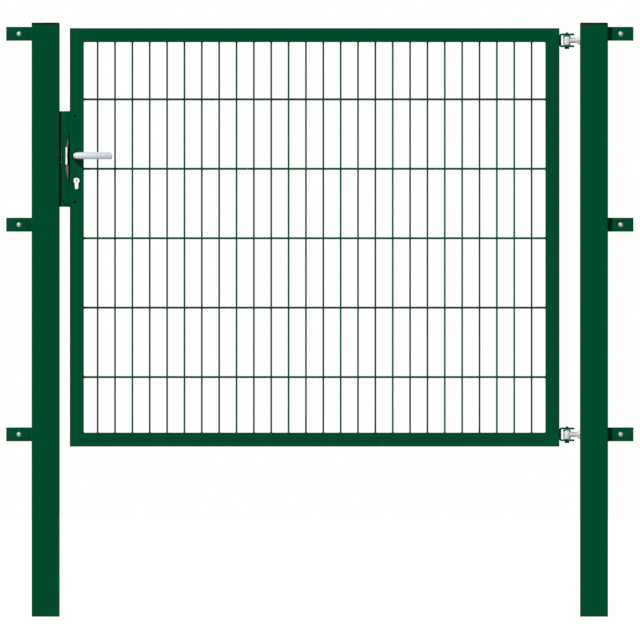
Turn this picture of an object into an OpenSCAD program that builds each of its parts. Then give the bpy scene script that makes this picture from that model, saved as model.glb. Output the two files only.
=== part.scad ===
// Single fence gate: a welded leaf with a double-rod mesh, hung between two posts.
// The frame is the hinge post's: its foot is at the origin, +Z is up, and the lock side is -X.
// The front, which the posts, the leaf and the lock case share, faces -Y.
// All sizes are in millimetres.

/* [Posts] */
// Outer width and depth of a post's square tube
post_w = 80; // [60:1:120]
// Wall of a post's tube
post_wall = 3; // [2:0.5:5]
// Outer corner radius of a post's tube
post_corner_r = 4; // [3:0.5:8]
// Length of a post's tube, with the part that goes into the ground
post_h = 1705; // [1450:5:2400]
// Clear width between the posts
clear_w = 1500; // [900:10:2200]

/* [Post caps] */
// Thickness of a cap's top plate
cap_t = 6; // [3:0.5:12]
// Height and width of the bevel around a cap's top
cap_bevel = 2; // [1:0.5:2.5]
// Depth of the plug that holds a cap in its tube
plug_depth = 28; // [10:1:60]
// Wall of the plug
plug_wall = 2.5; // [1.5:0.5:5]
// Clearance of the plug to the tube on each side
plug_fit = 0.3; // [0.1:0.1:1]

/* [Leaf frame] */
// Width and depth of the frame's square tube
frame_w = 40; // [30:1:60]
// Wall of the frame's tube
frame_wall = 2; // [1.5:0.5:4]
// Outer corner radius of the frame's tube
frame_corner_r = 3; // [2:0.5:5]
// Height of the leaf
leaf_h = 1205; // [1100:5:1800]
// Distance of the leaf's top from the top end of the posts' tubes
leaf_drop = 10; // [0:1:60]
// Gap between the leaf and the hinge post
hinge_gap = 60; // [58:1:80]
// Gap between the leaf and the latch post
latch_gap = 30; // [28:1:50]

/* [Mesh] */
// Diameter of the upright wires
wire_d = 5; // [4:0.5:8]
// Diameter of the level rods, which run in pairs
rod_d = 6; // [5:0.5:8]
// Spacing of the upright wires
wire_pitch = 50; // [40:5:100]
// Spacing of the pairs of rods
rod_pitch = 200; // [100:10:250]
// Height of the lowest pair of rods above the bottom rail
rod_start = 160; // [60:5:190]
// How far a rod melts into each wire that it crosses
weld_sink = 0.4; // [0.2:0.1:0.8]

/* [Fence lugs] */
// How far a lug stands out from its post
lug_len = 73.5; // [60:0.5:120]
// Height of a lug
lug_h = 40; // [30:1:60]
// Thickness of a lug
lug_t = 5; // [4:0.5:10]
// How far a lug's face lies behind the front of its post
lug_setback = 21; // [10:1:40]
// Distance of the top lugs' middle from the top end of the posts' tubes
lug_top_drop = 26; // [25:1:60]
// Distance of the middle lugs' middle from the top end of the posts' tubes
lug_mid_drop = 576; // [300:1:900]
// Distance of the low lugs' middle from the top end of the posts' tubes
lug_low_drop = 1180; // [1000:1:1400]
// Distance of a lug's bolt from the face of its post
lug_bolt_x = 36.5; // [25:0.5:60]
// Diameter of a lug's bolt
lug_bolt_d = 8; // [6:1:12]
// Clearance of a lug's hole around its bolt
lug_bolt_fit = 0.5; // [0.2:0.1:1]
// Length of a lug's bolt behind the lug
lug_stud_len = 30; // [20:1:60]
// Mean diameter of the bolt's free thread behind the nut
lug_thread_d = 7.2; // [5.2:0.1:7.5]
// Length of the plain shank that shows behind the nut
lug_shank_show = 1; // [0.5:0.5:3]
// Diameter of a lug bolt's domed head
lug_head_d = 14; // [13:0.5:20]
// Height of a lug bolt's domed head
lug_head_h = 4.5; // [3:0.5:6]
// Width across the flats of a lug's nut
lug_nut_af = 13; // [13:1:19]
// Thickness of a lug's nut
lug_nut_t = 6.5; // [5:0.5:12]

/* [Hinges] */
// Distance of each hinge's middle from the leaf's nearer end
hinge_inset = 35; // [25:1:200]
// Distance of the hinge axis from the leaf's edge
axis_out = 22; // [20:0.5:30]
// Diameter of the hinge pin
pin_d = 8; // [6:1:12]
// Clearance between the pin and the eye, on each side
pin_fit = 0.06; // [0.03:0.01:0.1]
// Clearance between the pin and the bracket's holes, on each side
pin_hole_fit = 0.15; // [0.1:0.05:0.3]
// How far the pin stands out above the bracket
pin_proud = 3; // [1:0.5:6]
// Width across the flats of the pin's head
pin_head_af = 13; // [13:1:19]
// Height of the pin's head
pin_head_h = 5.3; // [4:0.1:10]
// Diameter of the eye
eye_d = 21; // [18:0.5:24]
// Play between the eye and each arm of the bracket
eye_play = 0.4; // [0.2:0.1:1]
// Diameter of the eye's threaded shaft
shaft_d = 16; // [12:1:18]
// Length of the shaft inside the post
shaft_in = 35; // [15:1:60]
// Clearance of the shaft in the post and in its nut, on each side
shaft_fit = 0.15; // [0.1:0.05:0.3]
// Width across the flats of the shaft's lock nut
shaft_nut_af = 24; // [19:1:24]
// Thickness of the shaft's lock nut
shaft_nut_t = 8; // [6:0.5:8]
// Height of the hinge bracket
bracket_h = 39.5; // [34:0.5:50]
// Thickness of the bracket's plate
bracket_t = 5.5; // [4:0.5:6]
// Reach of the bracket's arms from the leaf's edge
bracket_reach = 43; // [38:0.5:44]
// Width of the bracket from front to back
bracket_w = 30; // [24:1:38]
// Radius of the corners at the arms' free ends
arm_corner_r = 8; // [4:0.5:11]
// Radius of the bracket's outer bends
bend_r = 6.5; // [6:0.5:10]

/* [Lock case] */
// Height of the lock case
case_h = 275.5; // [250:0.5:320]
// Height of the lock case's underside above the bottom of the leaf
case_up = 690.5; // [600:0.5:720]
// Gap between the lock case and the latch post
case_gap = 5.5; // [5:0.5:7]
// Wall of the lock case
case_wall = 2; // [1.5:0.5:3]
// Thickness of the forend plate that closes the case towards the post
forend_t = 3; // [2:0.5:4]
// Height of the window in the lock case's front
window_h = 147; // [120:1:200]
// Width of the window where its left side is straight
window_w = 12.3; // [9:0.1:13]
// How far the arc that shapes the window's ends would reach at its middle
window_bulge = 15; // [13.5:0.5:18]
// Distance of the window's middle below the lever's axis
window_drop = 8; // [0:0.5:15]
// Distance of the lever and the cylinder from the stile's outer edge
backset = 19.5; // [18:0.5:22]
// Height of the lever's axis above the case's underside
lever_up = 147; // [140:0.5:160]
// Distance of the cylinder's middle below the lever's axis
cylinder_drop = 72; // [60:1:100]

/* [Lock screws] */
// Diameter of the lock screws' heads
screw_head_d = 10; // [8:0.5:12]
// Height of the lock screws' heads
screw_head_h = 1.2; // [0.8:0.1:1.4]
// Diameter of the lock screws' threads
screw_d = 5; // [4:0.5:6]
// Length of the lock screws' threads
screw_len = 14; // [8:1:17]
// Clearance around a lock screw's head and thread, on each side
screw_fit = 0.1; // [0.05:0.05:0.3]
// Depth of a lock screw's head below the stile's face
screw_sink = 0.3; // [0.1:0.1:0.5]
// Distance of the lock screws from the stile's outer edge
screw_x = 13.5; // [10:0.5:20]
// Distance of the lock screws from the ends of the lock case
screw_inset = 13.5; // [10:0.5:20]
// Width across the flats of the lock screws' sockets
screw_socket_af = 4; // [3:0.5:5]

/* [Latch] */
// Height of the latch bolt
latch_h = 51; // [30:1:60]
// Thickness of the latch bolt from front to back
latch_t = 12; // [8:1:16]
// How far the latch bolt's nose stands out of the case at rest
latch_nose = 0.5; // [0.5:0.5:3]
// How far the lever draws the latch bolt back
latch_travel = 11.2; // [8:0.1:12]
// Gap between the drawn-back latch bolt and the spindle's corners
latch_room = 9.6; // [6:0.2:12]
// Clearance of the latch bolt in the forend's slot, on each side
latch_fit = 0.2; // [0.1:0.1:0.5]
// Distance of the latch bolt's front below the stile's front face
latch_depth = 3; // [3:0.5:8]
// Clearance around the latch bolt in the stile's outer wall
throat_room = 0.8; // [0.5:0.1:0.9]
// Thickness of the latch guide from front to back
guide_t = 3; // [2:0.5:5]
// Height of the latch guide over both its halves
guide_h = 120; // [100:1:130]
// Width of the strip that the latch guide leaves open beside the stile
guide_clear = 4; // [2:0.5:5]
// Width of the latch guide's seam behind the case's front
guide_seam = 3; // [2:0.5:3.5]
// Gap between the latch bolt and each half of the guide
guide_gap = 1; // [0.5:0.1:3]

/* [Levers and cylinder] */
// Diameter of a lever's grip
grip_d = 20; // [16:0.5:24]
// Reach of a lever from its axis to its tip
lever_reach = 102; // [90:1:140]
// Distance of a grip's middle from the face of the stile
lever_out = 50; // [40:1:70]
// Angle by which a grip's front is bent back towards the gate at its tip
grip_bend = 24; // [5:1:30]
// Diameter of a lever's neck
neck_d = 13; // [12:0.5:20]
// Gap between a lever's neck and the stile
neck_gap = 0.4; // [0.2:0.1:1]
// Diameter of the plastic sleeve around a lever's neck
sleeve_d = 27; // [22:0.5:28]
// Length of the sleeve
sleeve_len = 28; // [10:1:32]
// Size of the bevel at the sleeve's outer end
sleeve_bevel = 2; // [1:0.5:4]
// Clearance of the neck in the sleeve, on each side
sleeve_fit = 0.3; // [0.2:0.05:0.6]
// Width across the flats of the square spindle
spindle_w = 8; // [7:1:10]
// Depth of the spindle's socket in each neck
socket_depth = 25; // [15:1:35]
// Radius of the hole for the spindle, beyond the spindle's corners
spindle_room = 0.6; // [0.3:0.1:2]
// Diameter of the lock cylinder's round part
barrel_d = 17; // [16:0.5:18]
// Width of the lock cylinder's stem
stem_w = 10; // [9:0.5:11]
// Height of the lock cylinder
cylinder_h = 33; // [30:0.5:36]
// How far the lock cylinder stands out of the stile on each side
cylinder_proud = 3; // [1:0.5:10]
// Clearance of the lock cylinder in the stile, on each side
cylinder_fit = 0.15; // [0.1:0.05:0.3]
// Diameter of the key plug
plug_d = 13; // [11:0.5:14]
// Clearance of the key plug, on each side
key_fit = 0.06; // [0.03:0.01:0.1]
// Width of the key slot
slot_w = 2; // [1.5:0.5:3]
// Height of the key slot
slot_h = 9.5; // [7:0.5:10]
// Depth of the key slot in each end of the plug
slot_depth = 12; // [6:1:20]

/* [Stop plate] */
// Thickness of the stop plate
stop_t = 5; // [3:0.5:8]
// How far the stop plate reaches out from the latch post
stop_reach = 30; // [20:1:31]
// Gap between the stop plate and the back of the lock case when the gate is shut
stop_gap = 0.3; // [0.2:0.1:2]
// Clearance around the latch bolt in the slot of the latch post
keeper_room = 1; // [0.5:0.1:1.5]

/* [Hidden] */
$fn = 64;
few = 8;
eps = 0.01;
cut = 1;
hex = 6;

// Planes of the posts and of the leaf
latch_post_x = -(clear_w + post_w);
hinge_face_x = -post_w / 2;
latch_face_x = latch_post_x + post_w / 2;
front_y = -post_w / 2;
leaf_right_x = hinge_face_x - hinge_gap;
leaf_left_x = latch_face_x + latch_gap;
leaf_w = leaf_right_x - leaf_left_x;
leaf_mid_y = front_y + frame_w / 2;
leaf_back_y = front_y + frame_w;
leaf_top_z = post_h - leaf_drop;
leaf_z = leaf_top_z - leaf_h;

// Mesh
open_w = leaf_w - 2 * frame_w;
open_h = leaf_h - 2 * frame_w;
wire_count = floor(open_w / wire_pitch);
wire_start = (open_w - (wire_count - 1) * wire_pitch) / 2;
rod_count = floor((open_h - rod_start) / rod_pitch) + 1;
rod_y = (wire_d + rod_d) / 2 - weld_sink;

// Hinges
axis_x = leaf_right_x + axis_out;
hinge_low_z = leaf_z + hinge_inset;
hinge_top_z = leaf_top_z - hinge_inset;
arm_gap = bracket_h - 2 * bracket_t;
eye_h = arm_gap - 2 * eye_play;

// Lock
case_z = leaf_z + case_up;
case_left_x = latch_face_x + case_gap;
lock_x = leaf_left_x + backset;
lever_z = case_z + lever_up;
cylinder_z = lever_z - cylinder_drop;
window_z = lever_z - window_drop;
latch_left_x = case_left_x - latch_nose;
latch_right_x = lock_x - spindle_w / sqrt(2) - latch_room - latch_travel;
latch_front_y = front_y + latch_depth;
screw_heights = [case_z + screw_inset, case_z + case_h - screw_inset];
spindle_hole_r = spindle_w / sqrt(2) + spindle_room;
lug_heights = [post_h - lug_low_drop, post_h - lug_mid_drop, post_h - lug_top_drop];

green = [0.00, 0.30, 0.18];
black = [0.08, 0.09, 0.09];
zinc = [0.80, 0.81, 0.82];
alu = [0.83, 0.84, 0.86];
steel = [0.55, 0.56, 0.57];

// ---------- shapes that repeat ----------

// A square with round corners, centred on the origin.
module rounded_square(w, r) {
    square([w, w - 2 * r], center = true);
    square([w - 2 * r, w], center = true);
    for (sx = [-1, 1], sy = [-1, 1])
        translate([sx * (w / 2 - r), sy * (w / 2 - r)])
            circle(r);
}

// The section of a square tube with round corners.
module tube_section(w, wall, r) {
    difference() {
        rounded_square(w, r);
        rounded_square(w - 2 * wall, max(r - wall, 0.5));
    }
}

// A frame tube along +Z from the origin, mitred at both ends. Its outer side is at x = 0.
module mitred_tube(len) {
    intersection() {
        translate([frame_w / 2, 0, 0])
            linear_extrude(len)
                tube_section(frame_w, frame_wall, frame_corner_r);
        translate([0, frame_w, 0])
            rotate([90, 0, 0])
                linear_extrude(2 * frame_w)
                    polygon([[-cut, -cut], [frame_w, frame_w], [frame_w, len - frame_w], [-cut, len + cut]]);
    }
}

// A hexagonal prism along +Z, by its width across the flats.
module hex_prism(af, h) {
    cylinder(d = af / cos(180 / hex), h = h, $fn = hex);
}

// The part of a disc that a chord cuts off. The chord lies on the Y axis and the arc bulges to -X.
module arc_segment(chord, bulge) {
    r = (chord * chord / 4 + bulge * bulge) / (2 * bulge);
    intersection() {
        translate([r - bulge, 0])
            circle(r, $fn = 180);
        translate([-bulge - cut, -chord / 2])
            square([bulge + cut, chord]);
    }
}

// The profile of the lock cylinder: a round top with a narrower stem that has a round end.
module cylinder_profile(grow = 0) {
    stem_end = cylinder_h - barrel_d / 2 - stem_w / 2;
    circle(d = barrel_d + 2 * grow);
    translate([-stem_w / 2 - grow, -stem_end])
        square([stem_w + 2 * grow, stem_end]);
    translate([0, -stem_end])
        circle(d = stem_w + 2 * grow);
}

// The latch bolt's section with a clearance all round, from x over a length.
module latch_passage(x, len, room) {
    translate([x, latch_front_y - room, lever_z - latch_h / 2 - room])
        cube([len, latch_t + 2 * room, latch_h + 2 * room]);
}

// Lays what is drawn in XY upright, so that it faces the front and runs back from y.
module upright(x, y, z, depth) {
    translate([x, y + depth, z])
        rotate([90, 0, 0])
            linear_extrude(depth)
                children();
}

// ---------- posts ----------

module post(x) {
    translate([x, 0, 0])
        linear_extrude(post_h)
            tube_section(post_w, post_wall, post_corner_r);
}

// A bore for the eye bolt's shaft through the post's inner wall.
module shaft_bore(z) {
    translate([hinge_face_x - cut, leaf_mid_y, z])
        rotate([0, 90, 0])
            cylinder(d = shaft_d + 2 * shaft_fit, h = post_wall + 2 * cut);
}

module hinge_post() {
    color(green)
        difference() {
            post(0);
            shaft_bore(hinge_low_z);
            shaft_bore(hinge_top_z);
        }
}

// The slot beside the latch bolt is where the drawn-out bolt would engage.
module latch_post() {
    color(green)
        difference() {
            post(latch_post_x);
            latch_passage(latch_face_x - post_wall - cut, post_wall + 2 * cut, keeper_room);
        }
}

module post_cap(x) {
    plug_w = post_w - 2 * post_wall - 2 * plug_fit;
    plug_r = max(post_corner_r - post_wall, 0.5);
    color(black)
        translate([x, 0, post_h]) {
            hull() {
                linear_extrude(cap_t - cap_bevel)
                    rounded_square(post_w, post_corner_r, $fn = 32);
                linear_extrude(cap_t)
                    rounded_square(post_w - 2 * cap_bevel, post_corner_r, $fn = 32);
            }
            translate([0, 0, -plug_depth])
                linear_extrude(plug_depth)
                    tube_section(plug_w, plug_wall, plug_r);
        }
}

module hinge_post_cap() { post_cap(0); }
module latch_post_cap() { post_cap(latch_post_x); }

// ---------- fence lugs ----------

// side is 1 on the hinge post and -1 on the latch post.
function lug_face_x(side) = side > 0 ? post_w / 2 : latch_post_x - post_w / 2;
function lug_bolt_place(side, z) = [lug_face_x(side) + side * lug_bolt_x, front_y + lug_setback, z];

module lug(side, z) {
    color(green)
        difference() {
            translate([
                side > 0 ? lug_face_x(side) : lug_face_x(side) - lug_len,
                front_y + lug_setback,
                z - lug_h / 2
            ])
                cube([lug_len, lug_t, lug_h]);
            translate(lug_bolt_place(side, z) - [0, cut, 0])
                rotate([-90, 0, 0])
                    cylinder(d = lug_bolt_d + 2 * lug_bolt_fit, h = lug_t + 2 * cut);
        }
}

// A domed head of the given width and height on the XY plane, rising to +Z.
module dome(d, h) {
    r = (d * d / 4 + h * h) / (2 * h);
    rotate_extrude()
        intersection() {
            translate([0, h - r])
                circle(r, $fn = 96);
            square([d / 2, h]);
        }
}

module lug_bolts(side) {
    color(zinc)
        for (z = lug_heights)
            translate(lug_bolt_place(side, z)) {
                rotate([90, 0, 0])
                    dome(lug_head_d, lug_head_h);
                rotate([-90, 0, 0]) {
                    cylinder(d = lug_bolt_d, h = lug_t + lug_nut_t + lug_shank_show);
                    cylinder(d = lug_thread_d, h = lug_t + lug_stud_len);
                }
            }
}

module lug_nuts(side) {
    color(zinc)
        for (z = lug_heights)
            translate(lug_bolt_place(side, z) + [0, lug_t, 0])
                rotate([-90, 0, 0])
                    difference() {
                        hex_prism(lug_nut_af, lug_nut_t);
                        translate([0, 0, -cut])
                            cylinder(d = lug_bolt_d + 2 * shaft_fit, h = lug_nut_t + 2 * cut);
                    }
}

module hinge_post_lug_low() { lug(1, lug_heights[0]); }
module hinge_post_lug_mid() { lug(1, lug_heights[1]); }
module hinge_post_lug_top() { lug(1, lug_heights[2]); }
module latch_post_lug_low() { lug(-1, lug_heights[0]); }
module latch_post_lug_mid() { lug(-1, lug_heights[1]); }
module latch_post_lug_top() { lug(-1, lug_heights[2]); }
module hinge_post_lug_bolts() { lug_bolts(1); }
module latch_post_lug_bolts() { lug_bolts(-1); }
module hinge_post_lug_nuts() { lug_nuts(1); }
module latch_post_lug_nuts() { lug_nuts(-1); }

// ---------- stop ----------

module stop_plate() {
    color(green)
        translate([latch_face_x, leaf_back_y + stop_gap, case_z])
            cube([stop_reach, stop_t, case_h]);
}

// ---------- hinges ----------

module eye_bolt(z) {
    color(zinc)
        translate([axis_x, leaf_mid_y, z])
            difference() {
                union() {
                    translate([0, 0, -eye_h / 2])
                        cylinder(d = eye_d, h = eye_h);
                    rotate([0, 90, 0])
                        cylinder(d = shaft_d, h = hinge_face_x - axis_x + shaft_in);
                }
                translate([0, 0, -eye_h / 2 - cut])
                    cylinder(d = pin_d + 2 * pin_fit, h = eye_h + 2 * cut);
            }
}

module eye_nut(z) {
    color(zinc)
        translate([hinge_face_x - shaft_nut_t, leaf_mid_y, z])
            rotate([0, 90, 0])
                difference() {
                    hex_prism(shaft_nut_af, shaft_nut_t);
                    translate([0, 0, -cut])
                        cylinder(d = shaft_d + 2 * shaft_fit, h = shaft_nut_t + 2 * cut);
                }
}

// A plate bent to a U, with its back on the leaf's edge and its arms above and below the eye.
module hinge_bracket(z) {
    inner_r = bend_r - bracket_t;
    color(green)
        translate([leaf_right_x, leaf_mid_y, z])
            difference() {
                intersection() {
                    upright(0, -bracket_w / 2, 0, bracket_w)
                        difference() {
                            bend_outline(0, bracket_h, bend_r);
                            bend_outline(bracket_t, arm_gap, inner_r);
                        }
                    linear_extrude(2 * bracket_h, center = true)
                        arm_outline();
                }
                cylinder_through_arms();
            }
}

// The side view of the bent plate: a bar from x0 to the arms' ends with two round corners at x0.
module bend_outline(x0, h, r) {
    translate([x0 + r, -h / 2])
        square([bracket_reach - x0 - r, h]);
    translate([x0, -h / 2 + r])
        square([r + eps, h - 2 * r]);
    for (s = [-1, 1])
        translate([x0 + r, s * (h / 2 - r)])
            circle(r);
}

// The top view of the bracket: square on the leaf, with round corners at the arms' ends.
module arm_outline() {
    far = bracket_reach - arm_corner_r;
    translate([-cut, -bracket_w / 2])
        square([far + cut, bracket_w]);
    translate([far - cut, -bracket_w / 2 + arm_corner_r])
        square([arm_corner_r + cut, bracket_w - 2 * arm_corner_r]);
    for (s = [-1, 1])
        translate([far, s * (bracket_w / 2 - arm_corner_r)])
            circle(arm_corner_r);
}

module cylinder_through_arms() {
    translate([axis_out, 0, -bracket_h])
        cylinder(d = pin_d + 2 * pin_hole_fit, h = 2 * bracket_h);
}

// The pin is a bolt: its head is below the bracket and its end stands out above.
module hinge_pin(z) {
    color(black)
        translate([axis_x, leaf_mid_y, z - bracket_h / 2]) {
            translate([0, 0, -pin_head_h])
                hex_prism(pin_head_af, pin_head_h);
            translate([0, 0, -eps])
                cylinder(d = pin_d, h = bracket_h + pin_proud + eps);
        }
}

module low_eye_bolt() { eye_bolt(hinge_low_z); }
module top_eye_bolt() { eye_bolt(hinge_top_z); }
module low_eye_nut() { eye_nut(hinge_low_z); }
module top_eye_nut() { eye_nut(hinge_top_z); }
module low_hinge_bracket() { hinge_bracket(hinge_low_z); }
module top_hinge_bracket() { hinge_bracket(hinge_top_z); }
module low_hinge_pin() { hinge_pin(hinge_low_z); }
module top_hinge_pin() { hinge_pin(hinge_top_z); }

// ---------- leaf frame and mesh ----------

module hinge_stile() {
    color(green)
        translate([leaf_right_x, leaf_mid_y, leaf_z])
            mirror([1, 0, 0])
                mitred_tube(leaf_h);
}

// The lock stile is cut for the latch bolt, the spindle, the cylinder and the lock screws.
module lock_stile() {
    color(green)
        difference() {
            translate([leaf_left_x, leaf_mid_y, leaf_z])
                mitred_tube(leaf_h);
            latch_passage(leaf_left_x - cut, frame_wall + 2 * cut, throat_room);
            translate([lock_x, leaf_back_y + cut, lever_z])
                rotate([90, 0, 0])
                    cylinder(r = spindle_hole_r, h = frame_w + 2 * cut);
            upright(lock_x, front_y - cut, cylinder_z, frame_w + 2 * cut)
                cylinder_profile(cylinder_fit);
            screw_places()
                lock_screw_hole();
        }
}

module top_rail() {
    color(green)
        translate([leaf_left_x, leaf_mid_y, leaf_top_z])
            rotate([0, 90, 0])
                mitred_tube(leaf_w);
}

module bottom_rail() {
    color(green)
        translate([leaf_right_x, leaf_mid_y, leaf_z])
            rotate([0, -90, 0])
                mitred_tube(leaf_w);
}

// Bars of eight sides, turned so that a flat side of each lies on the bar that it crosses.
module bar(d, len) {
    rotate([0, 0, 180 / few])
        cylinder(d = d / cos(180 / few), h = len, $fn = few);
}

module mesh_panel() {
    color(green)
        translate([leaf_left_x + frame_w, leaf_mid_y, leaf_z + frame_w]) {
            for (i = [0 : wire_count - 1])
                translate([wire_start + i * wire_pitch, 0, 0])
                    bar(wire_d, open_h);
            for (i = [0 : rod_count - 1], side = [-1, 1])
                translate([0, side * rod_y, rod_start + i * rod_pitch])
                    rotate([0, 90, 0])
                        bar(rod_d, open_w);
        }
}

// ---------- lock case ----------

// The window's outline, grown by a margin: an arc on the stile's edge, cut straight at its middle.
module window_outline(grow = 0) {
    intersection() {
        arc_segment(window_h + 2 * grow, window_bulge + grow);
        translate([-window_w - grow, -window_h / 2 - grow])
            square([window_w + grow, window_h + 2 * grow]);
    }
}

// The case closes the gap beside the stile, flush with the stile's front and back.
module lock_case() {
    case_w = leaf_left_x - case_left_x;
    color(green)
        difference() {
            translate([case_left_x, front_y, case_z])
                cube([case_w, frame_w, case_h]);
            translate([case_left_x - cut, front_y + case_wall, case_z + case_wall])
                cube([case_w + 2 * cut, frame_w - 2 * case_wall, case_h - 2 * case_wall]);
            upright(leaf_left_x, front_y - cut, window_z, case_wall + 2 * cut)
                window_outline();
        }
}

// The forend fills the case's open side, and the latch bolt slides in its slot.
module lock_forend() {
    color(zinc)
        difference() {
            translate([case_left_x, front_y + case_wall, case_z + case_wall])
                cube([forend_t, frame_w - 2 * case_wall, case_h - 2 * case_wall]);
            latch_passage(case_left_x - cut, forend_t + 2 * cut, latch_fit);
        }
}

// Two plates on the inside of the case's front, one above and one below the latch bolt. A strip
// between them and the stile stays open.
module latch_guide() {
    gap_h = latch_h + 2 * guide_gap;
    reach = window_w + guide_seam;
    color(steel)
        upright(leaf_left_x, front_y + case_wall, window_z, guide_t)
            difference() {
                intersection() {
                    window_outline(guide_seam);
                    translate([-reach, -guide_h / 2])
                        square([reach - guide_clear, guide_h]);
                }
                translate([-reach - cut, window_drop - gap_h / 2])
                    square([reach + 2 * cut, gap_h]);
            }
}

// Places what is drawn along -Z below a face at each lock screw, in front and behind.
module screw_places() {
    for (z = screw_heights) {
        translate([leaf_left_x + screw_x, front_y, z])
            rotate([90, 0, 0])
                children();
        translate([leaf_left_x + screw_x, leaf_back_y, z])
            rotate([-90, 0, 0])
                children();
    }
}

module lock_screw_hole() {
    translate([0, 0, -screw_len])
        cylinder(d = screw_d + 2 * screw_fit, h = screw_len + cut);
    translate([0, 0, -screw_sink - screw_head_h])
        cylinder(d = screw_head_d + 2 * screw_fit, h = screw_sink + screw_head_h + cut);
}

module lock_screws() {
    color(black)
        screw_places()
            translate([0, 0, -screw_sink])
                difference() {
                    union() {
                        translate([0, 0, -screw_head_h])
                            cylinder(d = screw_head_d, h = screw_head_h);
                        translate([0, 0, -screw_len])
                            cylinder(d = screw_d, h = screw_len);
                    }
                    translate([0, 0, -screw_head_h])
                        hex_prism(screw_socket_af, screw_head_h + cut);
                }
}

// ---------- lock cylinder ----------

module cylinder_body() {
    depth = frame_w + 2 * cylinder_proud;
    color(zinc)
        difference() {
            upright(lock_x, front_y - cylinder_proud, cylinder_z, depth)
                cylinder_profile();
            upright(lock_x, front_y - cylinder_proud - cut, cylinder_z, depth + 2 * cut)
                circle(d = plug_d + 2 * key_fit);
        }
}

module key_plug() {
    depth = frame_w + 2 * cylinder_proud;
    color(zinc)
        difference() {
            upright(lock_x, front_y - cylinder_proud, cylinder_z, depth)
                circle(d = plug_d);
            for (y = [front_y - cylinder_proud - cut, leaf_back_y + cylinder_proud - slot_depth])
                upright(lock_x, y, cylinder_z, slot_depth + cut)
                    square([slot_w, slot_h], center = true);
        }
}

// ---------- levers ----------

// A lever on the plane y = 0 that stands out to -Y, with its axis at the origin. Its grip starts in
// a ball, bends back towards the gate and is cut off square to the gate.
module lever() {
    ball_x = (grip_d - neck_d) / 2;
    grip_x = lever_reach - ball_x;
    bend_r = grip_x / sin(grip_bend) - grip_d / 2;
    past_cut = asin(grip_x / (bend_r - grip_d / 2)) + 1;
    difference() {
        union() {
            translate([0, -neck_gap, 0])
                rotate([90, 0, 0])
                    cylinder(d = neck_d, h = lever_out - neck_gap);
            translate([ball_x, -lever_out, 0])
                sphere(d = grip_d);
            translate([ball_x, bend_r - lever_out, 0])
                rotate([0, 0, -90])
                    rotate_extrude(angle = past_cut)
                        translate([bend_r, 0, 0])
                            circle(d = grip_d);
        }
        translate([lever_reach, -lever_out - grip_d, -grip_d])
            cube([grip_d, lever_out + grip_d, 2 * grip_d]);
        translate([-spindle_w / 2, -socket_depth, -spindle_w / 2])
            cube([spindle_w, socket_depth + cut, spindle_w]);
    }
}

// A sleeve on the plane y = 0 that stands out to -Y, around a lever's neck.
module lever_sleeve() {
    straight = sleeve_len - sleeve_bevel;
    rotate([90, 0, 0])
        difference() {
            union() {
                cylinder(d = sleeve_d, h = straight);
                translate([0, 0, straight])
                    cylinder(d1 = sleeve_d, d2 = sleeve_d - 2 * sleeve_bevel, h = sleeve_bevel);
            }
            translate([0, 0, -cut])
                cylinder(d = neck_d + 2 * sleeve_fit, h = sleeve_len + 2 * cut);
        }
}

module front_lever_sleeve() {
    color(black)
        translate([lock_x, front_y, lever_z])
            lever_sleeve();
}

module back_lever_sleeve() {
    color(black)
        translate([lock_x, leaf_back_y, lever_z])
            mirror([0, 1, 0])
                lever_sleeve();
}

module front_lever() {
    color(alu)
        translate([lock_x, front_y, lever_z])
            lever();
}

// The lever is the same above and below its axis, so half a turn puts it on the back
module back_lever() {
    color(alu)
        translate([lock_x, leaf_back_y, lever_z])
            rotate([180, 0, 0])
                lever();
}

module spindle() {
    color(steel)
        translate([lock_x - spindle_w / 2, front_y - socket_depth, lever_z - spindle_w / 2])
            cube([spindle_w, frame_w + 2 * socket_depth, spindle_w]);
}

// ---------- latch ----------

module latch_bolt() {
    color(zinc)
        latch_passage(latch_left_x, latch_right_x - latch_left_x, 0);
}

hinge_post();
latch_post();
hinge_post_cap();
latch_post_cap();
hinge_post_lug_low();
hinge_post_lug_mid();
hinge_post_lug_top();
latch_post_lug_low();
latch_post_lug_mid();
latch_post_lug_top();
hinge_post_lug_bolts();
latch_post_lug_bolts();
hinge_post_lug_nuts();
latch_post_lug_nuts();
stop_plate();
low_eye_bolt();
top_eye_bolt();
low_eye_nut();
top_eye_nut();
hinge_stile();
lock_stile();
top_rail();
bottom_rail();
mesh_panel();
low_hinge_bracket();
top_hinge_bracket();
low_hinge_pin();
top_hinge_pin();
lock_case();
lock_forend();
latch_guide();
lock_screws();
cylinder_body();
key_plug();
front_lever_sleeve();
back_lever_sleeve();
front_lever();
back_lever();
spindle();
latch_bolt();
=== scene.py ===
# %% [markdown]
# # A single fence gate, dressed step by step
#
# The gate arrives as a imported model: a fixed frame of plain solids that already have their real
# places and sizes. This lesson keeps that frame and adds what makes it look made: a powder coat
# with a faint orange peel, softened edges, weld beads, a round-wire mesh, threads and satin metals.
# Nothing is moved or resized. Each piece rides on the body that carries it, so it swings with it.

import math

import bmesh
import bpy
from mathutils import Matrix, Vector


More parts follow.
